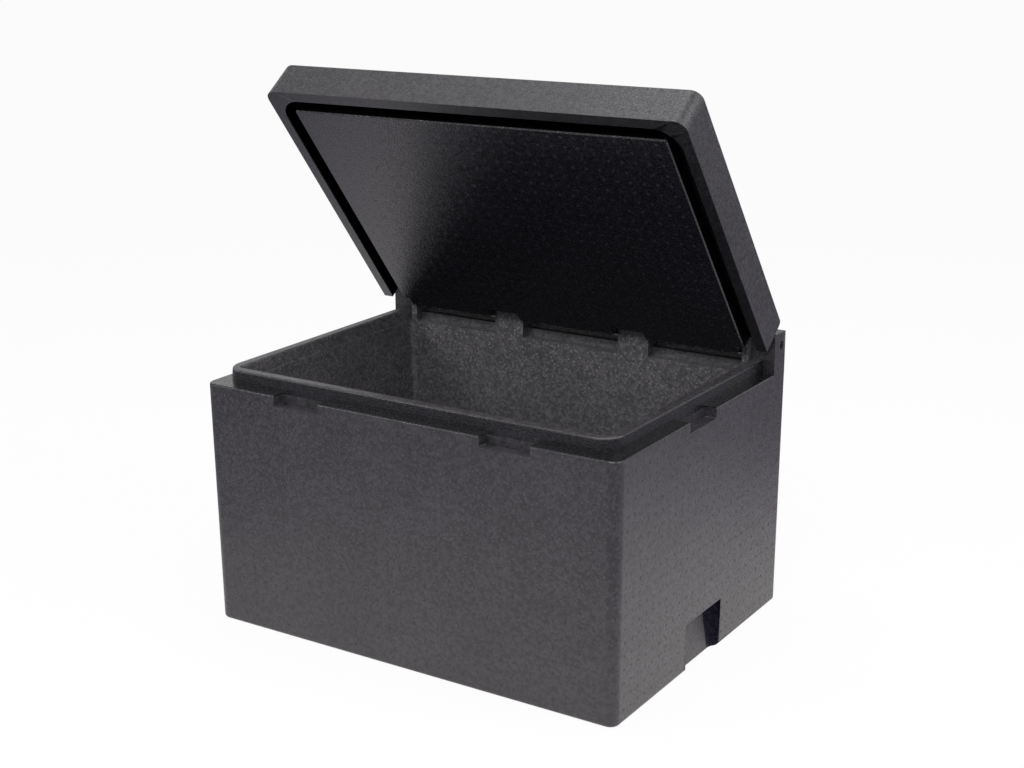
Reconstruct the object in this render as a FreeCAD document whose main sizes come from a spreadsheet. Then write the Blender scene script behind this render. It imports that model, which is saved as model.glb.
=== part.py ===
import FreeCAD, Part
import math
import os
import Sketcher
from FreeCAD import Placement, Rotation, Vector

# Foam box with a hinged lid, moulded in expanded polypropylene.
# Millimetres. +X to the right, +Y to the rear, +Z up. The origin is the centre of the footprint,
# on the surface that the box stands on. The lid is drawn shut and then turned open about its rod.

SIZES = [
    ("box_length", 800, "outside length of the box, left to right"),
    ("box_depth", 600, "outside depth of the box, front to rear"),
    ("shoulder_height", 430, "height of the ledge that the lid's skirt comes down on"),
    ("lid_thickness", 70, "height of the shut lid above that ledge"),
    ("corner_radius", 20, "upright outside corners, in plan"),
    ("wall_draft", 3.4, "how far the foot stands inside the shoulder"),
    ("foot_round", 6, "rounding of the bottom edge"),
    ("shoulder_round", 3, "rounding of the outer edge of the ledge"),
    ("floor_thickness", 45, "thickness of the floor"),
    ("wall_thickness", 45, "front and side walls at the top of the inside"),
    ("rear_wall", 66.5, "rear wall, thicker because it carries the hinge"),
    ("inside_draft", 6, "how far the inside walls lean in at the floor"),
    ("inside_radius", 10, "upright corners of the inside"),
    ("skirt_width", 19, "outer skirt of the lid, which covers the ledge"),
    ("plug_inset", 43, "from the lid's outside to its inner panel"),
    ("plug_radius", 4, "corners of the inner panel"),
    ("plug_chamfer", 2, "lead-in around the inner panel"),
    ("plug_recess", 1.2, "how far the inner panel stands above the skirt's lower edge"),
    ("rim_radius", 42.5, "outside corners of the rim, in plan"),
    ("rim_height", 24, "sealing rim above the ledge, front and sides"),
    ("rim_clearance", 1.5, "gap from the rim to the lid's groove on either side"),
    ("rim_lean", 1.5, "how far the rim's outer face leans in over its height"),
    ("rim_round", 3.5, "rounding along the top of the rim"),
    ("groove_gap", 2, "gap above the rim in the shut lid"),
    ("seat_gap", 0.3, "gap between the ledge and the shut skirt"),
    ("rear_rim_height", 15, "lower rim between the hinge blocks"),
    ("rear_rim_setback", 17, "from the inside of the rear wall to the rear rim"),
    ("rear_rim_width", 34, "front to rear"),
    ("hinge_inset", 31, "from the rear face to the rod's axis"),
    ("hinge_rise", 47, "from the ledge to the rod's axis"),
    ("rod_diameter", 14.5, "hinge rod"),
    ("rod_clearance", 0.05, "radial, in every bore"),
    ("rod_recess", 12, "from the outside of an ear to the end of the rod"),
    ("rod_chamfer", 1, "ends of the rod"),
    ("ear_width", 45, "solid ears at both ends of the hinge"),
    ("ear_depth", 58, "front to rear"),
    ("ear_round", 20, "rounding of the ear's rear upper edge"),
    ("ear_front_round", 5, "rounding of the ear's front upper edge"),
    ("cheek_reach", 57, "from the outside to the inner face of the cheek beside each ear"),
    ("block_width", 61, "hinge blocks between the ears"),
    ("block_offset", 131, "from the middle of the box to the middle of a block"),
    ("block_drop", 5, "how far blocks and cheeks stop below the top of the shut lid"),
    ("block_front", 2, "gap from a block's front to the lid"),
    ("hinge_gap", 2, "gap beside each ear and block"),
    ("bar_radius", 23, "rounding of the lid's hinge bars about the rod"),
    ("end_round", 12, "upper edge of the lid's side ends"),
    ("lid_round", 5, "upper outside edge of the lid"),
    ("notch_width", 92, "finger notches under the lid's edge"),
    ("notch_height", 18, "below the ledge"),
    ("notch_offset", 203, "from the middle of the box to a front notch"),
    ("notch_round", 2, "lower corners of a notch"),
    ("side_notch_place", 24, "from the middle of the depth to a side notch, forwards"),
    ("grip_width", 128, "hand grip low in each short side"),
    ("grip_height", 84, "above the floor that the box stands on"),
    ("grip_depth", 24, "at the top of the grip"),
    ("grip_foot_depth", 11, "at the bottom of the grip"),
    ("grip_radius", 24, "upright corners of the grip"),
    ("lid_angle", 52.5, "how far the lid stands open"),
]

doc = FreeCAD.newDocument("FoamBox")
sheet = doc.addObject("Spreadsheet::Sheet", "Sizes")
for row, (name, number, meaning) in enumerate(SIZES, start=1):
    sheet.set(f"A{row}", meaning)
    sheet.set(f"B{row}", str(number))
    sheet.setAlias(f"B{row}", name)
doc.recompute()

# Places that follow from the sizes. Each is an expression on the sheet.
HALF_LENGTH = "Sizes.box_length / 2"
FRONT = "(-Sizes.box_depth / 2)"
REAR = "(Sizes.box_depth / 2)"
LEDGE = "Sizes.shoulder_height"
LID_TOP = "(Sizes.shoulder_height + Sizes.lid_thickness)"
INSIDE_REAR = f"({REAR} - Sizes.rear_wall)"
EAR_FRONT = f"({REAR} - Sizes.ear_depth)"
EAR_INNER = f"({HALF_LENGTH} - Sizes.ear_width)"
AXIS_Y = f"({REAR} - Sizes.hinge_inset)"
AXIS_Z = "(Sizes.shoulder_height + Sizes.hinge_rise)"
BLOCK_RADIUS = "(Sizes.bar_radius - Sizes.block_drop)"
BLOCK_REAR = f"({AXIS_Y} + {BLOCK_RADIUS})"
CHEEK_INNER = f"({HALF_LENGTH} - Sizes.cheek_reach)"
BORE_RADIUS = "(Sizes.rod_diameter / 2 + Sizes.rod_clearance)"
RIM_OUTER = "(Sizes.skirt_width + Sizes.rim_clearance)"
RIM_INNER = "(Sizes.plug_inset - Sizes.rim_clearance)"
RIM_INNER_RADIUS = "(Sizes.plug_radius + Sizes.rim_clearance)"
RIM_OUTER_RADIUS = "Sizes.rim_radius"
BLOCK_TOP = f"({LID_TOP} - Sizes.block_drop)"
RIM_END = f"({EAR_FRONT} + 10)"
REAR_RIM_FRONT = f"({INSIDE_REAR} + Sizes.rear_rim_setback)"
SKIRT_FOOT = "(Sizes.shoulder_height + Sizes.seat_gap)"
PLUG_FOOT = f"({SKIRT_FOOT} + Sizes.plug_recess)"
GROOVE_TOP = "(Sizes.shoulder_height + Sizes.rim_height + Sizes.groove_gap)"
LID_REAR = f"({INSIDE_REAR} - Sizes.block_front)"
FINGER_REAR = f"({REAR_RIM_FRONT} - Sizes.rim_clearance)"
BAR_HALF = f"({CHEEK_INNER} - Sizes.hinge_gap)"
BLOCK_INNER = "(Sizes.block_offset - Sizes.block_width / 2)"
BLOCK_OUTER = "(Sizes.block_offset + Sizes.block_width / 2)"
OVERRUN = 40
RIGHT_ANGLE = math.pi / 2


def value(expression):
    """The number that an expression on the sheet comes to."""
    return float(sheet.evalExpression(expression))


def origin_plane(body, role):
    return next(item for item in body.Origin.OriginFeatures if item.Role == role)


def new_body(name, label):
    body = doc.addObject("PartDesign::Body", name)
    body.Label = label
    return body


def new_sketch(body, name, role="XY_Plane", lift=None):
    """A sketch on one of the body's own origin planes, lifted off it by an expression."""
    sketch = body.newObject("Sketcher::SketchObject", name)
    sketch.AttachmentSupport = [(origin_plane(body, role), "")]
    sketch.MapMode = "FlatFace"
    if lift:
        sketch.setExpression("AttachmentOffset.Base.z", lift)
    return sketch


def pin(sketch, direction, shape, point, expression):
    """Dimension one end of a line, or a centre, from the sketch's origin."""
    number = value(expression)
    if number >= 0:
        index = sketch.addConstraint(Sketcher.Constraint(direction, -1, 1, shape, point, number))
        sketch.setExpression(f"Constraints[{index}]", expression)
    else:
        index = sketch.addConstraint(Sketcher.Constraint(direction, shape, point, -1, 1, -number))
        sketch.setExpression(f"Constraints[{index}]", f"-({expression})")


def rectangle(sketch, left, right, low, high):
    """A rectangle whose four sides are placed by expressions."""
    x0, x1, y0, y1 = value(left), value(right), value(low), value(high)
    corners = [Vector(x0, y0, 0), Vector(x1, y0, 0), Vector(x1, y1, 0), Vector(x0, y1, 0)]
    lines = [
        sketch.addGeometry(Part.LineSegment(corners[i], corners[(i + 1) % 4]), False) for i in range(4)
    ]
    for i in range(4):
        sketch.addConstraint(Sketcher.Constraint("Coincident", lines[i], 2, lines[(i + 1) % 4], 1))
        sketch.addConstraint(Sketcher.Constraint("Vertical" if i % 2 else "Horizontal", lines[i]))
    pin(sketch, "DistanceX", lines[0], 1, left)
    pin(sketch, "DistanceX", lines[1], 1, right)
    pin(sketch, "DistanceY", lines[0], 1, low)
    pin(sketch, "DistanceY", lines[2], 1, high)


def rounded_rectangle(sketch, left, right, low, high, radius):
    """The same with four equal round corners."""
    x0, x1, y0, y1, r = (value(e) for e in (left, right, low, high, radius))
    ends = [
        (Vector(x0 + r, y0, 0), Vector(x1 - r, y0, 0), Vector(x1 - r, y0 + r, 0)),
        (Vector(x1, y0 + r, 0), Vector(x1, y1 - r, 0), Vector(x1 - r, y1 - r, 0)),
        (Vector(x1 - r, y1, 0), Vector(x0 + r, y1, 0), Vector(x0 + r, y1 - r, 0)),
        (Vector(x0, y1 - r, 0), Vector(x0, y0 + r, 0), Vector(x0 + r, y0 + r, 0)),
    ]
    lines = []
    arcs = []
    for i, (start, end, centre) in enumerate(ends):
        lines.append(sketch.addGeometry(Part.LineSegment(start, end), False))
        circle = Part.Circle(centre, Vector(0, 0, 1), r)
        arcs.append(sketch.addGeometry(Part.ArcOfCircle(circle, (i - 1) * RIGHT_ANGLE, i * RIGHT_ANGLE), False))
    for i in range(4):
        sketch.addConstraint(Sketcher.Constraint("Vertical" if i % 2 else "Horizontal", lines[i]))
        sketch.addConstraint(Sketcher.Constraint("Tangent", lines[i], 2, arcs[i], 1))
        sketch.addConstraint(Sketcher.Constraint("Tangent", arcs[i], 2, lines[(i + 1) % 4], 1))
        if i:
            sketch.addConstraint(Sketcher.Constraint("Equal", arcs[0], arcs[i]))
    index = sketch.addConstraint(Sketcher.Constraint("Radius", arcs[0], r))
    sketch.setExpression(f"Constraints[{index}]", radius)
    pin(sketch, "DistanceX", lines[3], 1, left)
    pin(sketch, "DistanceX", lines[1], 1, right)
    pin(sketch, "DistanceY", lines[0], 1, low)
    pin(sketch, "DistanceY", lines[2], 1, high)


def circle(sketch, x, y, radius):
    centre = Vector(value(x), value(y), 0)
    ring = sketch.addGeometry(Part.Circle(centre, Vector(0, 0, 1), value(radius)), False)
    index = sketch.addConstraint(Sketcher.Constraint("Radius", ring, value(radius)))
    sketch.setExpression(f"Constraints[{index}]", radius)
    pin(sketch, "DistanceX", ring, 3, x)
    pin(sketch, "DistanceY", ring, 3, y)


def extrude(body, kind, name, sketch, length, reverse=False):
    """A Pad or a Pocket of a sketch, by the length that an expression gives."""
    feature = body.newObject(f"PartDesign::{kind}", name)
    feature.Profile = sketch
    feature.setExpression("Length", length)
    feature.Reversed = reverse
    sketch.Visibility = False
    doc.recompute()
    return feature


def loft(body, kind, name, sketches):
    """An AdditiveLoft or a SubtractiveLoft through the sketches, with straight sides."""
    feature = body.newObject(f"PartDesign::{kind}", name)
    feature.Profile = sketches[0]
    feature.Sections = sketches[1:]
    feature.Ruled = True
    doc.recompute()
    return feature


def edges_where(shape, test):
    """Names of the edges whose middle point and ends pass a test."""
    names = []
    for number, edge in enumerate(shape.Edges, start=1):
        middle = edge.valueAt((edge.FirstParameter + edge.LastParameter) / 2)
        points = [middle] + [vertex.Point for vertex in edge.Vertexes]
        if all(test(point) for point in points):
            names.append(f"Edge{number}")
    return names


def round_edges(body, name, radius, test, kind="Fillet"):
    """Round or chamfer the edges of the body's last feature that pass a test."""
    base = body.Tip
    names = edges_where(base.Shape, test)
    if not names:
        raise RuntimeError(f"{name} finds no edge")
    feature = body.newObject(f"PartDesign::{kind}", name)
    feature.Base = (base, names)
    feature.setExpression("Radius" if kind == "Fillet" else "Size", radius)
    doc.recompute()
    return feature


def near(a, b):
    return abs(a - b) < 0.01


# Box body: shell with thick walls, sealing rim, ears and hinge blocks, all one moulding.

def outline(sketch, inset, radius, rear=REAR, rear_inset=None):
    """A rounded rectangle set in from the box's outside."""
    half = f"({HALF_LENGTH} - {inset})"
    back = rear if rear_inset is None else f"({rear} - {rear_inset})"
    rounded_rectangle(sketch, f"(-{half})", half, f"({FRONT} + {inset})", back, radius)


def both_sides(sketch, inner, outer, low, high):
    """Two equal rectangles, one on either side of the middle."""
    rectangle(sketch, inner, outer, low, high)
    rectangle(sketch, f"(-{outer})", f"(-{inner})", low, high)


def taper(feature, lean, height):
    feature.setExpression("TaperAngle", f"-atan({lean} / {height})")
    doc.recompute()


def make_shell(body):
    """Drawn at the ledge, where the box is widest, and padded down with draft."""
    top = new_sketch(body, "ShoulderOutline", lift=LEDGE)
    outline(top, "0", "Sizes.corner_radius")
    shell = extrude(body, "Pad", "Shell", top, LEDGE, reverse=True)
    taper(shell, "Sizes.wall_draft", LEDGE)
    ledge = value(LEDGE)
    round_edges(body, "FootRound", "Sizes.foot_round", lambda p: near(p.z, 0))
    round_edges(body, "ShoulderRound", "Sizes.shoulder_round", lambda p: near(p.z, ledge))


def ear_plan(sketch, side):
    """A rectangle whose outer rear corner follows the corner of the box."""
    inner, outer = side * value(EAR_INNER), side * value(HALF_LENGTH)
    front, rear, r = value(EAR_FRONT), value(REAR), value("Sizes.corner_radius")
    bend, level = outer - side * r, rear - r
    start = 0 if side > 0 else RIGHT_ANGLE
    ring = Part.Circle(Vector(bend, level, 0), Vector(0, 0, 1), r)
    points = [
        Vector(inner, rear, 0), Vector(inner, front, 0), Vector(outer, front, 0), Vector(outer, level, 0)
    ]
    lines = [sketch.addGeometry(Part.LineSegment(points[i], points[i + 1]), False) for i in range(3)]
    arc = sketch.addGeometry(Part.ArcOfCircle(ring, start, start + RIGHT_ANGLE), False)
    back = sketch.addGeometry(Part.LineSegment(Vector(bend, rear, 0), Vector(inner, rear, 0)), False)
    side_end, back_end = (1, 2) if side > 0 else (2, 1)
    sketch.addConstraint(Sketcher.Constraint("Coincident", lines[0], 2, lines[1], 1))
    sketch.addConstraint(Sketcher.Constraint("Coincident", lines[1], 2, lines[2], 1))
    sketch.addConstraint(Sketcher.Constraint("Tangent", lines[2], 2, arc, side_end))
    sketch.addConstraint(Sketcher.Constraint("Tangent", arc, back_end, back, 1))
    sketch.addConstraint(Sketcher.Constraint("Coincident", back, 2, lines[0], 1))
    for upright in (lines[0], lines[2]):
        sketch.addConstraint(Sketcher.Constraint("Vertical", upright))
    for level_line in (lines[1], back):
        sketch.addConstraint(Sketcher.Constraint("Horizontal", level_line))
    index = sketch.addConstraint(Sketcher.Constraint("Radius", arc, r))
    sketch.setExpression(f"Constraints[{index}]", "Sizes.corner_radius")
    sign = "" if side > 0 else "-"
    pin(sketch, "DistanceX", lines[0], 2, f"({sign}{EAR_INNER})")
    pin(sketch, "DistanceX", lines[2], 1, f"({sign}{HALF_LENGTH})")
    pin(sketch, "DistanceY", lines[1], 1, EAR_FRONT)
    pin(sketch, "DistanceY", back, 1, REAR)


def make_ears(body):
    """Solid ears at the rear corners, flush with the outside of the box."""
    plan = new_sketch(body, "EarPlan", lift=f"{LEDGE} - Sizes.shoulder_round")
    ear_plan(plan, 1)
    ear_plan(plan, -1)
    extrude(body, "Pad", "Ears", plan, "Sizes.lid_thickness + Sizes.shoulder_round")
    wide = f"{HALF_LENGTH} + {OVERRUN}"
    round_corner(body, "EarRound", REAR, LID_TOP, "Sizes.ear_round", 1, wide)
    round_corner(body, "EarFrontRound", EAR_FRONT, LID_TOP, "Sizes.ear_front_round", -1, wide)


def corner_waste(sketch, edge, top, radius, side):
    """What a rounded upper corner leaves over, at the rear (side 1) or at the front (side -1)."""
    y, z, r = value(edge), value(top), value(radius)
    start = 0 if side > 0 else RIGHT_ANGLE
    centre, far = y - side * r, y + side * OVERRUN
    ring = Part.Circle(Vector(centre, z - r, 0), Vector(0, 0, 1), r)
    arc = sketch.addGeometry(Part.ArcOfCircle(ring, start, start + RIGHT_ANGLE), False)
    points = [
        Vector(centre, z, 0),
        Vector(centre, z + OVERRUN, 0),
        Vector(far, z + OVERRUN, 0),
        Vector(far, z - r, 0),
        Vector(y, z - r, 0),
    ]
    lines = [sketch.addGeometry(Part.LineSegment(points[i], points[i + 1]), False) for i in range(4)]
    top_end, side_end = (2, 1) if side > 0 else (1, 2)
    sketch.addConstraint(Sketcher.Constraint("Coincident", arc, top_end, lines[0], 1))
    for i in range(3):
        sketch.addConstraint(Sketcher.Constraint("Coincident", lines[i], 2, lines[i + 1], 1))
    sketch.addConstraint(Sketcher.Constraint("Coincident", lines[3], 2, arc, side_end))
    for i in range(4):
        sketch.addConstraint(Sketcher.Constraint("Horizontal" if i % 2 else "Vertical", lines[i]))
    index = sketch.addConstraint(Sketcher.Constraint("Radius", arc, r))
    sketch.setExpression(f"Constraints[{index}]", radius)
    sign = "-" if side > 0 else "+"
    across = "+" if side > 0 else "-"
    pin(sketch, "DistanceX", arc, 3, f"({edge} {sign} {radius})")
    pin(sketch, "DistanceY", arc, 3, f"({top} - {radius})")
    pin(sketch, "DistanceX", lines[0], 1, f"({edge} {sign} {radius})")
    pin(sketch, "DistanceY", lines[3], 2, f"({top} - {radius})")
    pin(sketch, "DistanceX", lines[2], 1, f"({edge} {across} {OVERRUN})")
    pin(sketch, "DistanceY", lines[1], 2, f"({top} + {OVERRUN})")


def round_corner(body, name, edge, top, radius, side, half_width):
    """Round the upper corner of everything that stands between two places left and right."""
    sketch = new_sketch(body, f"{name}Waste", "YZ_Plane", half_width)
    corner_waste(sketch, edge, top, radius, side)
    extrude(body, "Pocket", name, sketch, f"2 * ({half_width})")


def make_inside(body):
    mouth = new_sketch(body, "InsideMouth", lift=LEDGE)
    outline(mouth, "Sizes.wall_thickness", "Sizes.inside_radius", rear=INSIDE_REAR)
    depth = f"({LEDGE} - Sizes.floor_thickness)"
    taper(extrude(body, "Pocket", "Inside", mouth, depth), "Sizes.inside_draft", depth)


def make_rim(body):
    """The sealing rim runs round the front and sides, and its ends are buried in the ears."""
    far = f"({REAR} + 2 * {OVERRUN})"
    foot = new_sketch(body, "RimFoot", lift=LEDGE)
    outline(foot, RIM_OUTER, RIM_OUTER_RADIUS, rear=far)
    extrude(body, "Pad", "RimBlock", foot, "Sizes.rim_height")
    mouth = new_sketch(body, "RimMouth", lift=LEDGE)
    outline(mouth, RIM_INNER, RIM_INNER_RADIUS, rear=f"({far} + {OVERRUN})")
    extrude(body, "Pocket", "RimOpening", mouth, f"Sizes.rim_height + {OVERRUN}", reverse=True)
    end = new_sketch(body, "RimEnd", lift=LEDGE)
    wide = f"({HALF_LENGTH} + {OVERRUN})"
    rectangle(end, f"(-{wide})", wide, RIM_END, f"({far} + 2 * {OVERRUN})")
    extrude(body, "Pocket", "RimTrimmed", end, f"Sizes.rim_height + {OVERRUN}", reverse=True)
    rim_top, stop = value(f"{LEDGE} + Sizes.rim_height"), value(RIM_END)
    inner, front = value(f"{HALF_LENGTH} - {RIM_INNER}"), value(f"{FRONT} + {RIM_INNER}")
    radius = value(RIM_INNER_RADIUS)

    def on_top(p):
        return near(p.z, rim_top)

    def on_outside(p):
        bend = abs(p.x) > inner - radius and p.y < front + radius
        away = ((abs(p.x) - inner + radius) ** 2 + (p.y - front - radius) ** 2) ** 0.5
        return on_top(p) and (away > radius + 1 if bend else abs(p.x) > inner + 1 or p.y < front - 1)

    base = body.Tip
    names = [
        name for name in edges_where(base.Shape, on_outside) if not crosses(base.Shape, name, stop)
    ]
    lean = body.newObject("PartDesign::Chamfer", "RimLean")
    lean.Base = (base, names)
    lean.ChamferType = "Two distances"
    lean.FlipDirection = True
    lean.setExpression("Size", "Sizes.rim_lean")
    lean.setExpression("Size2", "Sizes.rim_height * 2 / 3")
    doc.recompute()
    names = [name for name in edges_where(lean.Shape, on_top) if not crosses(lean.Shape, name, stop)]
    rounding = body.newObject("PartDesign::Fillet", "RimRound")
    rounding.Base = (lean, names)
    rounding.setExpression("Radius", "Sizes.rim_round")
    doc.recompute()


def crosses(shape, name, y):
    """Whether an edge lies wholly in the upright plane at this depth."""
    edge = shape.getElement(name)
    return all(near(vertex.Y, y) for vertex in edge.Vertexes)


def make_hinge_row(body):
    """Cheeks beside the ears, two hinge blocks and the low rim between them."""
    plan = new_sketch(body, "BlockPlan", lift=LEDGE)
    both_sides(plan, CHEEK_INNER, EAR_INNER, INSIDE_REAR, BLOCK_REAR)
    both_sides(plan, BLOCK_INNER, BLOCK_OUTER, INSIDE_REAR, BLOCK_REAR)
    extrude(body, "Pad", "Blocks", plan, f"{BLOCK_TOP} - {LEDGE}")
    round_corner(body, "BlockFront", INSIDE_REAR, BLOCK_TOP, BLOCK_RADIUS, -1, EAR_INNER)
    round_corner(body, "BlockBack", BLOCK_REAR, BLOCK_TOP, BLOCK_RADIUS, 1, EAR_INNER)
    rim = new_sketch(body, "RearRimPlan", lift=LEDGE)
    rim_rear = f"({REAR_RIM_FRONT} + Sizes.rear_rim_width)"
    both_sides(rim, BLOCK_OUTER, CHEEK_INNER, REAR_RIM_FRONT, rim_rear)
    rectangle(rim, f"(-{BLOCK_INNER})", BLOCK_INNER, REAR_RIM_FRONT, rim_rear)
    extrude(body, "Pad", "RearRim", rim, "Sizes.rear_rim_height")


def make_notches(body):
    """Finger notches below the lid's edge, two in the front and one in each short side."""
    low = f"({LEDGE} - Sizes.notch_height)"
    high = f"({LEDGE} + {OVERRUN})"
    half = "Sizes.notch_width / 2"
    front = new_sketch(body, "FrontNotches", "XZ_Plane", f"-{FRONT}")
    for side in ("-1", "1"):
        middle = f"{side} * Sizes.notch_offset"
        rounded_rectangle(
            front, f"({middle} - {half})", f"({middle} + {half})", low, high, "Sizes.notch_round"
        )
    extrude(body, "Pocket", "FrontNotchesCut", front, RIM_OUTER)
    for name, lift, reverse in (("Right", HALF_LENGTH, False), ("Left", f"-{HALF_LENGTH}", True)):
        place = "-Sizes.side_notch_place"
        sketch = new_sketch(body, f"{name}Notch", "YZ_Plane", lift)
        rounded_rectangle(
            sketch, f"({place} - {half})", f"({place} + {half})", low, high, "Sizes.notch_round"
        )
        extrude(body, "Pocket", f"{name}NotchCut", sketch, RIM_OUTER, reverse=reverse)


def make_grips(body):
    """A hand grip low in each short side, deeper at its top than at the foot."""
    low, high = "(-Sizes.grip_width / 2)", "(Sizes.grip_width / 2)"
    for name, side in (("Right", 1), ("Left", -1)):
        plans = []
        levels = (("Foot", "0", "(Sizes.wall_draft + Sizes.grip_foot_depth)"),
                  ("Top", "Sizes.grip_height", "(Sizes.wall_draft + Sizes.grip_depth)"))
        for level, lift, depth in levels:
            plan = new_sketch(body, f"{name}Grip{level}", lift=lift)
            inner, outer = f"({HALF_LENGTH} - {depth})", f"({HALF_LENGTH} + {OVERRUN})"
            if side < 0:
                inner, outer = f"(-{outer})", f"(-{inner})"
            rounded_rectangle(plan, inner, outer, low, high, "Sizes.grip_radius")
            plans.append(plan)
        loft(body, "SubtractiveLoft", f"{name}GripCut", plans)


def make_bore(body, name):
    """The rod's hole, right through from one side to the other."""
    sketch = new_sketch(body, f"{name}Circle", "YZ_Plane", f"{HALF_LENGTH} + {OVERRUN}")
    circle(sketch, AXIS_Y, AXIS_Z, BORE_RADIUS)
    extrude(body, "Pocket", name, sketch, f"Sizes.box_length + 2 * {OVERRUN}")


def make_box_body():
    body = new_body("BoxBody", "box_body")
    make_shell(body)
    make_inside(body)
    make_rim(body)
    make_ears(body)
    make_hinge_row(body)
    make_notches(body)
    make_grips(body)
    make_bore(body, "BodyBore")
    return body


# Lid: one closed frame with a skirt, a groove for the rim, an inner panel and three hinge bars.

def make_lid_block(body):
    foot = new_sketch(body, "LidOutline", lift=SKIRT_FOOT)
    rectangle(foot, f"(-{HALF_LENGTH})", HALF_LENGTH, FRONT, LID_REAR)
    extrude(body, "Pad", "LidBlock", foot, f"{LID_TOP} - {SKIRT_FOOT}")
    half, front = value(HALF_LENGTH), value(FRONT)
    round_edges(
        body, "LidCorners", "Sizes.corner_radius", lambda p: near(abs(p.x), half) and near(p.y, front)
    )
    top, rear = value(LID_TOP), value(LID_REAR)

    def on_rim_of_top(p):
        return near(p.z, top) and (p.y < rear - 1 or near(abs(p.x), half))

    round_edges(body, "LidRound", "Sizes.lid_round", on_rim_of_top)
    wide = f"{HALF_LENGTH} + {OVERRUN}"
    round_corner(body, "EndRound", LID_REAR, LID_TOP, "Sizes.end_round", 1, wide)


def make_groove(body):
    """The groove takes the box's rim. The panel inside it drops into the box."""
    groove = new_sketch(body, "GrooveOutline", lift=GROOVE_TOP)
    radius = f"({RIM_OUTER_RADIUS} + Sizes.rim_clearance)"
    outline(groove, "Sizes.skirt_width", radius, rear=f"({REAR} + {OVERRUN})")
    extrude(body, "Pocket", "Groove", groove, f"Sizes.rim_height + Sizes.groove_gap + {OVERRUN}")
    plug = new_sketch(body, "PlugOutline", lift=PLUG_FOOT)
    outline(plug, "Sizes.plug_inset", "Sizes.plug_radius", rear=f"({REAR} + {OVERRUN})")
    extrude(body, "Pad", "Plug", plug, f"{GROOVE_TOP} - {PLUG_FOOT}")
    trim = new_sketch(body, "PlugTrim", lift=LEDGE)
    wide = f"({HALF_LENGTH} + {OVERRUN})"
    rectangle(trim, f"(-{wide})", wide, FINGER_REAR, f"({REAR} + 2 * {OVERRUN})")
    extrude(body, "Pocket", "PlugTrimmed", trim, f"Sizes.lid_thickness + {OVERRUN}", reverse=True)


def make_bars(body):
    """Three hinge bars, round at the rear about the rod."""
    sketch = new_sketch(body, "BarSection", "YZ_Plane", f"-{BAR_HALF}")
    front, y, z = value(f"{LID_REAR} - {OVERRUN}"), value(AXIS_Y), value(AXIS_Z)
    r = value("Sizes.bar_radius")
    foot = sketch.addGeometry(Part.LineSegment(Vector(front, z - r, 0), Vector(y, z - r, 0)), False)
    curve = Part.ArcOfCircle(Part.Circle(Vector(y, z, 0), Vector(0, 0, 1), r), -RIGHT_ANGLE, RIGHT_ANGLE)
    back = sketch.addGeometry(curve, False)
    top = sketch.addGeometry(Part.LineSegment(Vector(y, z + r, 0), Vector(front, z + r, 0)), False)
    side = sketch.addGeometry(Part.LineSegment(Vector(front, z + r, 0), Vector(front, z - r, 0)), False)
    sketch.addConstraint(Sketcher.Constraint("Tangent", foot, 2, back, 1))
    sketch.addConstraint(Sketcher.Constraint("Tangent", back, 2, top, 1))
    sketch.addConstraint(Sketcher.Constraint("Coincident", top, 2, side, 1))
    sketch.addConstraint(Sketcher.Constraint("Coincident", side, 2, foot, 1))
    sketch.addConstraint(Sketcher.Constraint("Horizontal", foot))
    sketch.addConstraint(Sketcher.Constraint("Vertical", side))
    index = sketch.addConstraint(Sketcher.Constraint("Radius", back, r))
    sketch.setExpression(f"Constraints[{index}]", "Sizes.bar_radius")
    pin(sketch, "DistanceX", back, 3, AXIS_Y)
    pin(sketch, "DistanceY", back, 3, AXIS_Z)
    pin(sketch, "DistanceX", foot, 1, f"({LID_REAR} - {OVERRUN})")
    extrude(body, "Pad", "Bars", sketch, f"2 * {BAR_HALF}")


def make_block_openings(body):
    """Room for the hinge blocks and for the cheeks of the ears."""
    sketch = new_sketch(body, "BlockOpenings", lift=f"{LID_TOP} + {OVERRUN}")
    far = f"({REAR} + {OVERRUN})"
    gap = "Sizes.hinge_gap"
    both_sides(sketch, f"({BLOCK_INNER} - {gap})", f"({BLOCK_OUTER} + {gap})", LID_REAR, far)
    both_sides(sketch, BAR_HALF, f"({HALF_LENGTH} + {OVERRUN})", LID_REAR, far)
    extrude(body, "Pocket", "BlockOpeningsCut", sketch, f"2 * Sizes.lid_thickness + {OVERRUN}")


def make_lid():
    body = new_body("Lid", "lid")
    make_lid_block(body)
    make_groove(body)
    make_bars(body)
    make_block_openings(body)
    foot, low = value(PLUG_FOOT), value(FINGER_REAR)
    round_edges(
        body, "PlugChamfer", "Sizes.plug_chamfer", lambda p: near(p.z, foot) and p.y < low - 1, kind="Chamfer"
    )
    make_bore(body, "LidBore")
    body.Placement = Placement(Vector(0, 0, 0), Rotation(Vector(-1, 0, 0), value("Sizes.lid_angle")))
    turn = "Sizes.lid_angle"
    body.setExpression("Placement.Rotation.Angle", turn)
    body.setExpression("Placement.Base.y", f"{AXIS_Y} - {AXIS_Y} * cos({turn}) - {AXIS_Z} * sin({turn})")
    body.setExpression("Placement.Base.z", f"{AXIS_Z} + {AXIS_Y} * sin({turn}) - {AXIS_Z} * cos({turn})")
    doc.recompute()
    return body


# Hinge rod: one straight rod through both ears, both blocks and the three bars.

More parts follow.
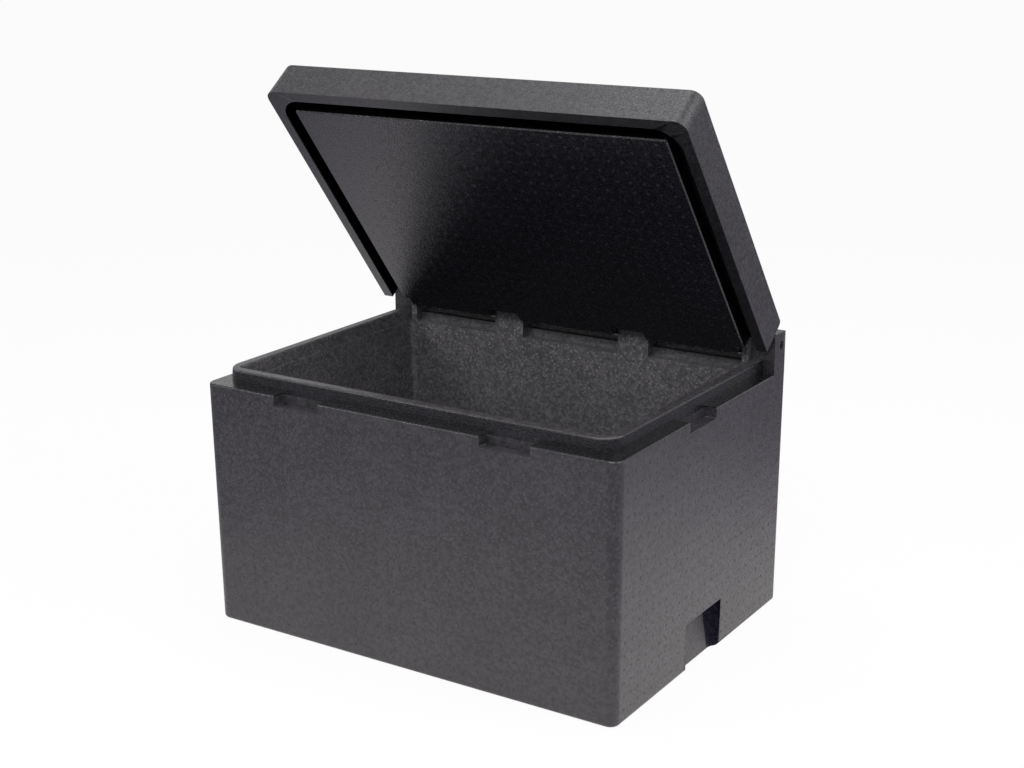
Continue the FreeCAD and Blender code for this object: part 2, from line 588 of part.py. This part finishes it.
def make_rod():
    body = new_body("HingeRod", "hinge_rod")
    sketch = new_sketch(body, "RodCircle", "YZ_Plane", f"-({HALF_LENGTH} - Sizes.rod_recess)")
    circle(sketch, AXIS_Y, AXIS_Z, "Sizes.rod_diameter / 2")
    extrude(body, "Pad", "Rod", sketch, "Sizes.box_length - 2 * Sizes.rod_recess")
    end = value(f"{HALF_LENGTH} - Sizes.rod_recess")
    round_edges(body, "RodChamfer", "Sizes.rod_chamfer", lambda p: near(abs(p.x), end), kind="Chamfer")
    return body


bodies = [make_box_body(), make_lid(), make_rod()]
doc.recompute()

for item in doc.Objects:
    if "Invalid" in item.State or "Error" in item.State:
        raise RuntimeError(f"{item.Name} is in a failed state")
os.makedirs("parts", exist_ok=True)
for body in bodies:
    if body.Shape.isNull() or not body.Shape.isValid() or len(body.Shape.Solids) != 1:
        raise RuntimeError(f"{body.Label} has a faulty shape")
    body.Shape.exportStep(f"parts/{body.Label}.step")
    box = body.Shape.optimalBoundingBox()
    size = f"{box.XLength:.1f} x {box.YLength:.1f} x {box.ZLength:.1f}"
    print(f"{body.Label}: {body.Shape.Volume / 1e6:.3f} litres, {size}")
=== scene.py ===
import bmesh
import bpy
from math import radians
from mathutils import Matrix, Vector


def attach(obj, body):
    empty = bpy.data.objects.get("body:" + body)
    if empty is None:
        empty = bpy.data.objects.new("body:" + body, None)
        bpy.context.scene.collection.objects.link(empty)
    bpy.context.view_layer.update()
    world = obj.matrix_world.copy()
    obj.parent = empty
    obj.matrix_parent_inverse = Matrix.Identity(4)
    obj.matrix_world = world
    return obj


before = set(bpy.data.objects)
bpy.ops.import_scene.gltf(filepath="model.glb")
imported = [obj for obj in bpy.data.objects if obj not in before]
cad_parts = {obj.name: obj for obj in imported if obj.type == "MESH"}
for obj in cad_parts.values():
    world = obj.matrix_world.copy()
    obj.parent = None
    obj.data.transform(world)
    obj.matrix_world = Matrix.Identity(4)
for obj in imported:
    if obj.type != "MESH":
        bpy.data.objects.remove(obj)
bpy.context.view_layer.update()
scene = bpy.context.scene

# Box body
# One moulding of charcoal expanded polypropylene: small beads fused by steam in a closed tool.
# Walls of 45 mm, a sealing rim, ears and hinge blocks. The tool's steam vents leave rows of dots.

NOISE_LOW = 0.3
NOISE_HIGH = 0.7
MIX_SLOTS = (0, 6, 7)
MIX_RESULT = 2


def new_material(name):
    """A material with nodes. Returns it, its node tree and its shader."""
    material = bpy.data.materials.new(name)
    material.use_nodes = True
    return material, material.node_tree, material.node_tree.nodes["Principled BSDF"]


def new_group(name, inputs, outputs):
    """An empty node group with its sockets. Returns the group, its input node and its output node."""
    group = bpy.data.node_groups.new(name, "ShaderNodeTree")
    for socket, kind in inputs:
        group.interface.new_socket(socket, in_out="INPUT", socket_type=kind)
    for socket, kind in outputs:
        group.interface.new_socket(socket, in_out="OUTPUT", socket_type=kind)
    return group, group.nodes.new("NodeGroupInput"), group.nodes.new("NodeGroupOutput")


def place_group(tree, group, **vectors):
    """Puts a node group in a tree, with its inputs linked. Returns its outputs."""
    node = tree.nodes.new("ShaderNodeGroup")
    node.node_tree = group
    for name, vector in vectors.items():
        tree.links.new(vector, node.inputs[name])
    return node.outputs


def math_node(tree, operation, a, b=None, c=None, clamp=False):
    """A Math node on sockets or numbers. Returns its output."""
    node = tree.nodes.new("ShaderNodeMath")
    node.operation = operation
    node.use_clamp = clamp
    for slot, value in enumerate((a, b, c)):
        if value is None:
            continue
        if isinstance(value, (int, float)):
            node.inputs[slot].default_value = value
        else:
            tree.links.new(value, node.inputs[slot])
    return node.outputs[0]


def product(tree, a, b):
    return math_node(tree, "MULTIPLY", a, b)


def larger(tree, a, b):
    return math_node(tree, "MAXIMUM", a, b)


def ramp(tree, value, low, high, to_low=0.0, to_high=1.0):
    """A smooth step of a value between two limits."""
    node = tree.nodes.new("ShaderNodeMapRange")
    node.interpolation_type = "SMOOTHSTEP"
    tree.links.new(value, node.inputs["Value"])
    limits = {"From Min": low, "From Max": high, "To Min": to_low, "To Max": to_high}
    for name, number in limits.items():
        node.inputs[name].default_value = number
    return node.outputs[0]


def noise(tree, vector, size, detail):
    """A soft random pattern with patches of about the given size."""
    node = tree.nodes.new("ShaderNodeTexNoise")
    node.inputs["Scale"].default_value = 1 / size
    node.inputs["Detail"].default_value = detail
    tree.links.new(vector, node.inputs["Vector"])
    return node.outputs


def spread(tree, value, low=0.0, high=1.0):
    """The middle range of a noise, where most of its values lie, taken to two limits."""
    return ramp(tree, value, NOISE_LOW, NOISE_HIGH, low, high)


def split(tree, vector):
    """The X, Y and Z outputs of a vector."""
    node = tree.nodes.new("ShaderNodeSeparateXYZ")
    tree.links.new(vector, node.inputs[0])
    return node.outputs


def mix_colour(tree, factor, a, b):
    """Two colours mixed by a factor. Each of the three is a socket or a value."""
    node = tree.nodes.new("ShaderNodeMix")
    node.data_type = "RGBA"
    for slot, value in zip(MIX_SLOTS, (factor, a, b)):
        if isinstance(value, tuple):
            node.inputs[slot].default_value = (*value, 1.0)
        else:
            tree.links.new(value, node.inputs[slot])
    return node.outputs[MIX_RESULT]


def tint(tree, colour, value):
    """A colour, made lighter or darker by a value."""
    node = tree.nodes.new("ShaderNodeVectorMath")
    node.operation = "SCALE"
    if isinstance(colour, tuple):
        node.inputs[0].default_value = colour
    else:
        tree.links.new(colour, node.inputs[0])
    tree.links.new(value, node.inputs["Scale"])
    return node.outputs[0]


BEAD_SIZE = 0.0048
WANDER_SIZE = 2.2 * BEAD_SIZE
WANDER = 0.5 * BEAD_SIZE
SEAM_WIDTH = 0.10
SEAM_TONE = 0.72
CROWN_WIDTH = 0.16
BEAD_TONES = (0.66, 1.36)
GRAIN_SIZE = 0.0011
GRAIN_TONES = (0.90, 1.10)
GRAIN_HEIGHT = 0.25
PALE_FROM = 0.62
PALE_MIDDLE = 0.18
PALE_EDGE = 0.50
PLAIN_DETAIL = 2.0
FINE_DETAIL = 3.0


def bead_cells(tree, vector, feature):
    node = tree.nodes.new("ShaderNodeTexVoronoi")
    node.feature = feature
    node.inputs["Scale"].default_value = 1 / BEAD_SIZE
    tree.links.new(vector, node.inputs["Vector"])
    return node.outputs


def bead_group():
    """Fused beads: their seams, their uneven tone, and the few pale ones among them."""
    group, inputs, outputs = new_group(
        "Fused beads",
        [("Vector", "NodeSocketVector")],
        [("Tone", "NodeSocketFloat"), ("Pale", "NodeSocketFloat"), ("Height", "NodeSocketFloat")],
    )
    place = inputs.outputs["Vector"]
    wander = noise(group, place, WANDER_SIZE, PLAIN_DETAIL)["Color"]
    push = group.nodes.new("ShaderNodeVectorMath")
    push.operation = "MULTIPLY_ADD"
    group.links.new(wander, push.inputs[0])
    push.inputs[1].default_value = (WANDER, WANDER, WANDER)
    group.links.new(place, push.inputs[2])
    cells = bead_cells(group, push.outputs[0], "F1")
    to_seam = bead_cells(group, push.outputs[0], "DISTANCE_TO_EDGE")["Distance"]
    chance = group.nodes.new("ShaderNodeSeparateColor")
    group.links.new(cells["Color"], chance.inputs[0])
    grain = noise(group, place, GRAIN_SIZE, FINE_DETAIL)["Fac"]
    bead_tone = ramp(group, chance.outputs["Red"], 0.0, 1.0, *BEAD_TONES)
    seam_tone = ramp(group, to_seam, 0.0, SEAM_WIDTH, SEAM_TONE, 1.0)
    tone = product(group, product(group, bead_tone, spread(group, grain, *GRAIN_TONES)), seam_tone)
    rare = ramp(group, chance.outputs["Green"], PALE_FROM, 1.0)
    middle = ramp(group, cells["Distance"], PALE_MIDDLE, PALE_EDGE, 1.0, 0.0)
    pale = product(group, rare, middle)
    crown = ramp(group, to_seam, 0.0, CROWN_WIDTH)
    height = math_node(group, "MULTIPLY_ADD", grain, GRAIN_HEIGHT, crown)
    for name, value in (("Tone", tone), ("Pale", pale), ("Height", height)):
        group.links.new(value, outputs.inputs[name])
    return group


VENT_ACROSS = 0.024
VENT_UP = 0.0224
VENT_RADIUS = 0.0024
VENT_INNER = 0.9 * VENT_RADIUS
VENT_OUTER = 1.15 * VENT_RADIUS
VENT_RING = 0.0006
FLAT_FROM = 0.990
FLAT_TO = 0.998


def off_grid(tree, value, pitch):
    """How far a value is from the nearest line of a grid."""
    turns = math_node(tree, "DIVIDE", value, pitch)
    rest = math_node(tree, "SUBTRACT", turns, math_node(tree, "ROUND", turns))
    return product(tree, rest, pitch)


def vent_group():
    """Rows of round steam-vent marks on the flat faces, on a grid that each face lies in."""
    group, inputs, outputs = new_group(
        "Steam vents",
        [("Vector", "NodeSocketVector"), ("Normal", "NodeSocketVector")],
        [("Disc", "NodeSocketFloat"), ("Height", "NodeSocketFloat")],
    )
    x, y, z = split(group, inputs.outputs["Vector"])
    facing = split(group, inputs.outputs["Normal"])
    grids = (
        (facing["Y"], off_grid(group, x, VENT_ACROSS), off_grid(group, z, VENT_UP)),
        (facing["X"], off_grid(group, y, VENT_UP), off_grid(group, z, VENT_UP)),
        (facing["Z"], off_grid(group, x, VENT_ACROSS), off_grid(group, y, VENT_UP)),
    )
    discs = []
    rings = []
    for normal, across, up in grids:
        squared = math_node(group, "MULTIPLY_ADD", up, up, product(group, across, across))
        distance = math_node(group, "SQRT", squared)
        flat = ramp(group, math_node(group, "ABSOLUTE", normal), FLAT_FROM, FLAT_TO)
        disc = ramp(group, distance, VENT_INNER, VENT_OUTER, 1.0, 0.0)
        discs.append(product(group, flat, disc))
        from_edge = math_node(group, "ABSOLUTE", math_node(group, "SUBTRACT", distance, VENT_RADIUS))
        ring = ramp(group, from_edge, 0.0, VENT_RING, 1.0, 0.0)
        rings.append(product(group, flat, ring))
    disc = larger(group, larger(group, discs[0], discs[1]), discs[2])
    ring = larger(group, larger(group, rings[0], rings[1]), rings[2])
    group.links.new(disc, outputs.inputs["Disc"])
    group.links.new(math_node(group, "SUBTRACT", 1.0, ring), outputs.inputs["Height"])
    return group


ZONE_EDGE = 0.001


def within(tree, value, low, high):
    """1 between two limits and 0 outside them."""
    above = ramp(tree, value, low - ZONE_EDGE, low)
    below = ramp(tree, value, high, high + ZONE_EDGE, 1.0, 0.0)
    return product(tree, above, below)


def box_mask(tree, vector, lowest, highest):
    """1 inside an upright box of space and 0 outside it."""
    x, y, z = (within(tree, *three) for three in zip(split(tree, vector), lowest, highest))
    return product(tree, product(tree, x, y), z)


def zone_value(tree, masks, finishes, part):
    """A number that is its own in each zone. Later zones lie over earlier ones."""
    value = finishes[0][part]
    for mask, finish in zip(masks, finishes[1:]):
        if isinstance(value, float):
            rest = finish[part] - value
        else:
            rest = math_node(tree, "SUBTRACT", finish[part], value)
        value = math_node(tree, "MULTIPLY_ADD", mask, rest, value)
    return value


def zone_colour(tree, masks, finishes, part):
    """A colour that is its own in each zone."""
    colour = finishes[0][part]
    for mask, finish in zip(masks, finishes[1:]):
        colour = mix_colour(tree, mask, colour, finish[part])
    return colour


def foam_look_and_painted_light(colour, pale, roughness, vent_tone=1.0, vent_rough=0.0, painted_deep_shade=0.0):
    """How one zone of a moulding looks: its colour, its pale beads, its sheen and its vents.

    Painted deep shade is 1 in a narrow hollow that light hardly reaches: a full metallic value with a
    near-black colour paints shade there and takes the pale sheen away.
    """
    return {
        "colour": colour,
        "pale": pale,
        "roughness": roughness,
        "vents": vent_tone - 1.0,
        "vent_rough": vent_rough,
        "painted_deep_shade": painted_deep_shade,
    }


CLOUD_SIZE = 0.09
CLOUD_TONES = (0.90, 1.10)
SMUDGE_SIZE = 0.006
SMUDGE_ROUGHNESS = 0.05
VENT_HEIGHT = 0.9
RELIEF_STRENGTH = 0.5
RELIEF_DEPTH = 0.0003
beads = bead_group()
vents = vent_group()


def turned_place(tree, turn, about):
    """The place and the normal on a piece, both turned with it. Returns their outputs."""
    source = tree.nodes.new("ShaderNodeTexCoord")
    place = tree.nodes.new("ShaderNodeMapping")
    centre = Vector(about)
    place.inputs["Location"].default_value = centre - Matrix.Rotation(turn, 3, "X") @ centre
    normal = tree.nodes.new("ShaderNodeMapping")
    normal.vector_type = "NORMAL"
    for node, output in ((place, "Object"), (normal, "Normal")):
        node.inputs["Rotation"].default_value = (turn, 0, 0)
        tree.links.new(source.outputs[output], node.inputs["Vector"])
    return place.outputs[0], normal.outputs[0]


def foam_material(name, ground_finish, zones, turn=0.0, about=(0.0, 0.0, 0.0)):
    """Moulded bead foam, with finishes of their own in some boxes of space.

    A piece that stands turned has its patterns and zones turned with it. The zones' own colours paint
    light and shade on parts of the piece.
    """
    material, tree, shader = new_material(name)
    place, normal = turned_place(tree, turn, about)
    bead = place_group(tree, beads, Vector=place)
    vent = place_group(tree, vents, Vector=place, Normal=normal)
    masks = [box_mask(tree, place, lowest, highest) for lowest, highest, finish in zones]
    finishes = [ground_finish] + [finish for lowest, highest, finish in zones]

    cloud = spread(tree, noise(tree, place, CLOUD_SIZE, FINE_DETAIL)["Fac"], *CLOUD_TONES)
    vent_tone = zone_value(tree, masks, finishes, "vents")
    vent_tone = math_node(tree, "MULTIPLY_ADD", vent["Disc"], vent_tone, 1.0)
    tone = product(tree, product(tree, bead["Tone"], cloud), vent_tone)
    ground = tint(tree, zone_colour(tree, masks, finishes, "colour"), tone)
    pale = zone_colour(tree, masks, finishes, "pale")
    tree.links.new(mix_colour(tree, bead["Pale"], ground, pale), shader.inputs["Base Color"])

    smudge = noise(tree, place, SMUDGE_SIZE, PLAIN_DETAIL)["Fac"]
    smudge = spread(tree, smudge, -SMUDGE_ROUGHNESS, SMUDGE_ROUGHNESS)
    rough = math_node(tree, "ADD", smudge, zone_value(tree, masks, finishes, "roughness"))
    vent_rough = zone_value(tree, masks, finishes, "vent_rough")
    rough = math_node(tree, "MULTIPLY_ADD", vent["Disc"], vent_rough, rough, clamp=True)
    tree.links.new(rough, shader.inputs["Roughness"])
    tree.links.new(zone_value(tree, masks, finishes, "painted_deep_shade"), shader.inputs["Metallic"])

    height = math_node(tree, "MULTIPLY_ADD", vent["Height"], VENT_HEIGHT, bead["Height"])
    relief = tree.nodes.new("ShaderNodeBump")
    relief.inputs["Strength"].default_value = RELIEF_STRENGTH
    relief.inputs["Distance"].default_value = RELIEF_DEPTH
    tree.links.new(height, relief.inputs["Height"])
    tree.links.new(relief.outputs["Normal"], shader.inputs["Normal"])
    return material


JOIN_WITHIN = 0.00001


def finish_node(name, material):
    """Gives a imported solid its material, and joins the corners that lie in the same place."""
    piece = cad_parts[name]
    piece.data.materials.clear()
    piece.data.materials.append(material)
    weld = piece.modifiers.new("Joined corners", "WELD")
    weld.merge_threshold = JOIN_WITHIN


CHARCOAL = (0.0280, 0.0258, 0.0306)
PALE_BEAD = (0.055, 0.051, 0.058)
outer_foam = foam_look_and_painted_light(CHARCOAL, PALE_BEAD, 0.40, vent_tone=0.70, vent_rough=0.16)
# Painted shade: the ledge and the outer faces of the rim are drawn much darker than the charcoal, as
# the rim and the lid shade them.
rim_and_ledge_painted_shade = foam_look_and_painted_light((0.0060, 0.0052, 0.0072), (0.022, 0.020, 0.024), 0.24)
# Painted light: the rim's top is drawn lighter than the charcoal, where light falls on it from above.
rim_top_painted_light = foam_look_and_painted_light((0.040, 0.037, 0.042), (0.11, 0.10, 0.115), 0.42)
# Painted light: the inside and the fronts of the hinge blocks are drawn about three times lighter
# than the charcoal, as light falls on them from the front.
inside_painted_light = foam_look_and_painted_light((0.092, 0.088, 0.096), (0.24, 0.23, 0.25), 0.55, vent_tone=1.3)
# Painted shade: the ends of the grips are drawn near black and without sheen, as the shaded ends of a
# hollow.
grip_end_painted_shade = foam_look_and_painted_light((0.0090, 0.0090, 0.0150), (0.014, 0.014, 0.022), 0.45, painted_deep_shade=1.0)

# Zones as lowest corner, highest corner and finish, of which later ones lie over earlier ones: the
# ledge and the rim in painted shade, the rim's top, the inside and the hinge blocks in painted light,
# and the ends of the grips in painted shade.
REAR_RIM_FRONT = 0.2415
body_zones = [
    ((-0.4010, -0.3010, 0.4290), (0.4010, REAR_RIM_FRONT, 0.4545), rim_and_ledge_painted_shade),
    ((-0.3765, -0.2765, 0.4515), (0.3765, REAR_RIM_FRONT, 0.4560), rim_top_painted_light),
    ((-0.3600, -0.2600, 0.0), (0.3600, REAR_RIM_FRONT, 0.4525), inside_painted_light),
    ((-0.3552, 0.2330, 0.0), (0.3552, 0.2920, 0.4900), inside_painted_light),
]
# Boxes at both ends of each side grip, which take the painted shade.
GRIP_FLOOR = 0.3700
GRIP_MOUTH = 0.3962
GRIP_END_INNER = 0.0390
GRIP_END_OUTER = 0.0650
GRIP_FOOT = -0.001
GRIP_HEAD = 0.0845
for side in (-1, 1):
    for end in (-1, 1):
        near_x, far_x = sorted((side * GRIP_FLOOR, side * GRIP_MOUTH))
        near_y, far_y = sorted((end * GRIP_END_INNER, end * GRIP_END_OUTER))
        body_zones.append(((near_x, near_y, GRIP_FOOT), (far_x, far_y, GRIP_HEAD), grip_end_painted_shade))
body_foam = foam_material("Charcoal bead foam", outer_foam, body_zones)
finish_node("box_body", body_foam)

# Rear rim steps
# The low rim along the rear rises by one more step in each of its three bays, up to the lid's
# hinge bars, so that hardly any light comes through. Moulded in one with the box.

STEP_FRONT = 0.2640
STEP_REAR = 0.2845
STEP_FOOT = 0.4446
STEP_TOP = 0.4515
STEP_ROUND = 0.0012
STEP_ROUND_SEGMENTS = 3
BAY_OUTER = 0.3425
BAY_INNER = 0.1620
MIDDLE_BAY = 0.1000


def moulded_bar(name, left, right):
    """A long bar between two blocks, with its upper edges rounded."""
    size = (right - left, STEP_REAR - STEP_FRONT, STEP_TOP - STEP_FOOT)
    middle = ((left + right) / 2, (STEP_FRONT + STEP_REAR) / 2, (STEP_FOOT + STEP_TOP) / 2)
    bar = bmesh.new()
    bmesh.ops.create_cube(bar, size=1.0)
    bmesh.ops.scale(bar, vec=size, verts=bar.verts)
    bmesh.ops.translate(bar, vec=middle, verts=bar.verts)
    upper = [edge for edge in bar.edges if all(vert.co.z > middle[2] for vert in edge.verts)]
    bmesh.ops.bevel(
        bar,
        geom=upper,
        offset=STEP_ROUND,
        segments=STEP_ROUND_SEGMENTS,
        profile=0.5,
        affect="EDGES",
        material=-1,
    )
    mesh = bpy.data.meshes.new(name)
    bar.to_mesh(mesh)
    bar.free()
    mesh.materials.append(body_foam)
    piece = bpy.data.objects.new(name, mesh)
    scene.collection.objects.link(piece)
    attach(piece, "box")


moulded_bar("rear_rim_step_left", -BAY_OUTER, -BAY_INNER)
moulded_bar("rear_rim_step_middle", -MIDDLE_BAY, MIDDLE_BAY)
moulded_bar("rear_rim_step_right", BAY_INNER, BAY_OUTER)

# Hinge rod
# A straight pultruded rod of glass fibre in black resin, pushed through from one side.

FIBRE_SIZE = 0.0007
FIBRE_STRETCH = (0.04, 1, 1)
RESIN = (0.012, 0.012, 0.012)
FIBRE = (0.035, 0.035, 0.036)
ROD_ROUGHNESS = (0.32, 0.48)

rod_black, rod_tree, rod_shader = new_material("Black fibre rod")
rod_place = rod_tree.nodes.new("ShaderNodeTexCoord")
rod_stretch = rod_tree.nodes.new("ShaderNodeMapping")
rod_stretch.inputs["Scale"].default_value = FIBRE_STRETCH
rod_tree.links.new(rod_place.outputs["Object"], rod_stretch.inputs["Vector"])
fibres = noise(rod_tree, rod_stretch.outputs[0], FIBRE_SIZE, FINE_DETAIL)["Fac"]
rod_colour = mix_colour(rod_tree, spread(rod_tree, fibres), RESIN, FIBRE)
rod_tree.links.new(rod_colour, rod_shader.inputs["Base Color"])
rod_tree.links.new(spread(rod_tree, fibres, *ROD_ROUGHNESS), rod_shader.inputs["Roughness"])
finish_node("hinge_rod", rod_black)

# Lid
# One moulding of the same foam. The inner panel comes off a polished tool face, so it is
# smoother and shinier than the box. It stands open at 52.5 degrees.

LID_TURN = radians(52.5)
HINGE = (0.0, 0.269, 0.477)
lid_outside = foam_look_and_painted_light(CHARCOAL, PALE_BEAD, 0.40, vent_tone=0.75, vent_rough=0.12)
# Painted shade: the inner panel is drawn darker than the charcoal, as it faces down away from the
# light; its lower roughness is its real polish.
lid_panel_polish_and_painted_shade = foam_look_and_painted_light(
    (0.0050, 0.0046, 0.0080), (0.018, 0.018, 0.023), 0.27, vent_tone=4.0, vent_rough=0.1
)
# Painted shade: the foot of the skirt faces down and is drawn darker than the charcoal.
lid_foot_painted_shade = foam_look_and_painted_light((0.0070, 0.0066, 0.0090), (0.018, 0.018, 0.022), 0.33)
# Painted shade: the groove is drawn near black and without sheen, as the shaded hollow in the lid.
lid_groove_painted_shade = foam_look_and_painted_light((0.0100, 0.0100, 0.0140), (0.014, 0.014, 0.018), 0.50, painted_deep_shade=1.0)

# Zones on the shut lid, each drawn in painted shade: the foot of its skirt, the groove for the rim
# and the inner panel.
LID_REAR = 0.2335
lid_zones = [
    ((-0.4010, -0.3010, 0.4250), (0.4010, LID_REAR, 0.4309), lid_foot_painted_shade),
    ((-0.3816, -0.2816, 0.4330), (0.3816, LID_REAR, 0.4580), lid_groove_painted_shade),
    ((-0.3575, -0.2575, 0.4250), (0.3575, 0.2500, 0.4338), lid_panel_polish_and_painted_shade),
]
lid_foam = foam_material("Charcoal bead foam, lid", lid_outside, lid_zones, LID_TURN, HINGE)
finish_node("lid", lid_foam)

# Floor and backdrop
# A wide sheet of matt white paper. It fills the whole view and keeps the box's shadow. For mirrored
# rays only, it glows as a painted pool of light, bright and warm near the box and dimmer and cooler
# further away.

WHITE = (1.0, 1.0, 1.0)
PAPER_WHITE = (0.86, 0.86, 0.86, 1.0)
PAPER_ROUGHNESS = 0.9
PAPER_SHEEN = 0.2
PAPER_HALF_SIZE = 30.0
PAPER_DROP = 0.0004
GLOW_SHARE = 0.94
POOL_NEAR = 0.5
POOL_FAR = 1.6
POOL_STRENGTHS = (1.3, 0.25)
NEAR_CAST = (1.02, 0.97, 0.98)
FAR_CAST = (0.94, 0.90, 1.12)

sheet = bmesh.new()
bmesh.ops.create_grid(sheet, x_segments=1, y_segments=1, size=PAPER_HALF_SIZE)
bmesh.ops.translate(sheet, verts=sheet.verts, vec=(0, 0, -PAPER_DROP))
floor_mesh = bpy.data.meshes.new("paper_floor")
sheet.to_mesh(floor_mesh)
sheet.free()
floor = bpy.data.objects.new("paper_floor", floor_mesh)
scene.collection.objects.link(floor)

paper, paper_tree, paper_shader = new_material("White paper")
paper_shader.inputs["Base Color"].default_value = PAPER_WHITE
paper_shader.inputs["Roughness"].default_value = PAPER_ROUGHNESS
paper_shader.inputs["Specular IOR Level"].default_value = PAPER_SHEEN
paper_place = paper_tree.nodes.new("ShaderNodeTexCoord")
away = paper_tree.nodes.new("ShaderNodeVectorMath")
away.operation = "LENGTH"
paper_tree.links.new(paper_place.outputs["Object"], away.inputs[0])
distance = away.outputs["Value"]
path = paper_tree.nodes.new("ShaderNodeLightPath").outputs

# The camera sees plain white paper. Only what mirrors it sees the painted pool of light.
pool = ramp(paper_tree, distance, POOL_NEAR, POOL_FAR, *POOL_STRENGTHS)
below_full = math_node(paper_tree, "SUBTRACT", 1.0, pool)
strength = math_node(paper_tree, "MULTIPLY_ADD", path["Is Camera Ray"], below_full, pool)
cast = mix_colour(paper_tree, ramp(paper_tree, distance, POOL_NEAR, POOL_FAR), NEAR_CAST, FAR_CAST)
colour = mix_colour(paper_tree, path["Is Camera Ray"], cast, WHITE)
glow = paper_tree.nodes.new("ShaderNodeEmission")
paper_tree.links.new(strength, glow.inputs["Strength"])
paper_tree.links.new(colour, glow.inputs["Color"])

mirrored = larger(paper_tree, path["Is Glossy Ray"], path["Is Transmission Ray"])
looked_at = larger(paper_tree, path["Is Camera Ray"], mirrored)
blend = paper_tree.nodes.new("ShaderNodeMixShader")
paper_tree.links.new(product(paper_tree, looked_at, GLOW_SHARE), blend.inputs[0])
paper_tree.links.new(paper_shader.outputs[0], blend.inputs[1])
paper_tree.links.new(glow.outputs[0], blend.inputs[2])
paper_tree.links.new(blend.outputs[0], paper_tree.nodes["Material Output"].inputs["Surface"])
floor_mesh.materials.append(paper)

# Light
# A white studio: even light from all round, and four soft lamps on the right, on the left,
# high in front and overhead.

WORLD_WHITE = (1.0, 1.0, 1.0, 1.0)
WORLD_LIGHT = 0.38
MIRRORED_SIDE = 1.0
MIRRORED_TOP = 0.60
TOP_FROM = 0.15
TOP_TO = 0.75
LAMPS_AIM = (0, 0, 0.4)

world = bpy.data.worlds.new("Studio")
scene.world = world
world.use_nodes = True
world_tree = world.node_tree
back = world_tree.nodes["Background"]
back.inputs["Color"].default_value = WORLD_WHITE
seen = world_tree.nodes.new("ShaderNodeLightPath").outputs
direction = world_tree.nodes.new("ShaderNodeTexCoord")
upward = split(world_tree, direction.outputs["Generated"])["Z"]
mirrored = larger(world_tree, seen["Is Glossy Ray"], seen["Is Transmission Ray"])
sky = ramp(world_tree, upward, TOP_FROM, TOP_TO, MIRRORED_SIDE, MIRRORED_TOP)
shown = larger(world_tree, product(world_tree, mirrored, sky), seen["Is Camera Ray"])
world_tree.links.new(larger(world_tree, shown, WORLD_LIGHT), back.inputs["Strength"])


def softbox(name, place, size, power):
    """A square soft lamp that looks at the box."""
    data = bpy.data.lights.new(name, "AREA")
    data.shape = "SQUARE"
    data.size = size
    data.energy = power
    lamp = bpy.data.objects.new(name, data)
    lamp.location = place
    lamp.rotation_euler = (Vector(LAMPS_AIM) - Vector(place)).to_track_quat("-Z", "Y").to_euler()
    scene.collection.objects.link(lamp)


softbox("Lamp on the right", place=(2.6, 0.2, 2.4), size=1.6, power=40)
softbox("Lamp high in front", place=(0.9, -2.2, 3.0), size=1.5, power=60)
softbox("Lamp on the left", place=(-2.0, -2.35, 2.35), size=0.9, power=22)
softbox("Lamp overhead", place=(-0.3, 0.2, 3.4), size=1.6, power=28)

# Camera
# The photograph's own viewing angle, found from the edges of the box.

CAMERA_PLACE = (1.51768, -2.31416, 1.22447)
CAMERA_RIGHT = Vector((0.8413173, 0.5405040, -0.0063688))
CAMERA_DOWN = Vector((0.1468500, -0.2398856, -0.9596302))
CAMERA_AHEAD = Vector((-0.5202117, 0.8064182, -0.2811930))
SENSOR_WIDTH = 36.0
FOCAL_LENGTH = 59.152
FARTHEST_SEEN = 60.0

camera_data = bpy.data.cameras.new("Camera")
camera_data.sensor_width = SENSOR_WIDTH
camera_data.lens = FOCAL_LENGTH
camera_data.clip_end = FARTHEST_SEEN
camera = bpy.data.objects.new("Camera", camera_data)
turned = Matrix((CAMERA_RIGHT, -CAMERA_DOWN, -CAMERA_AHEAD)).transposed().to_4x4()
camera.matrix_world = Matrix.Translation(CAMERA_PLACE) @ turned
scene.collection.objects.link(camera)
scene.camera = camera
scene.view_settings.view_transform = "Standard"
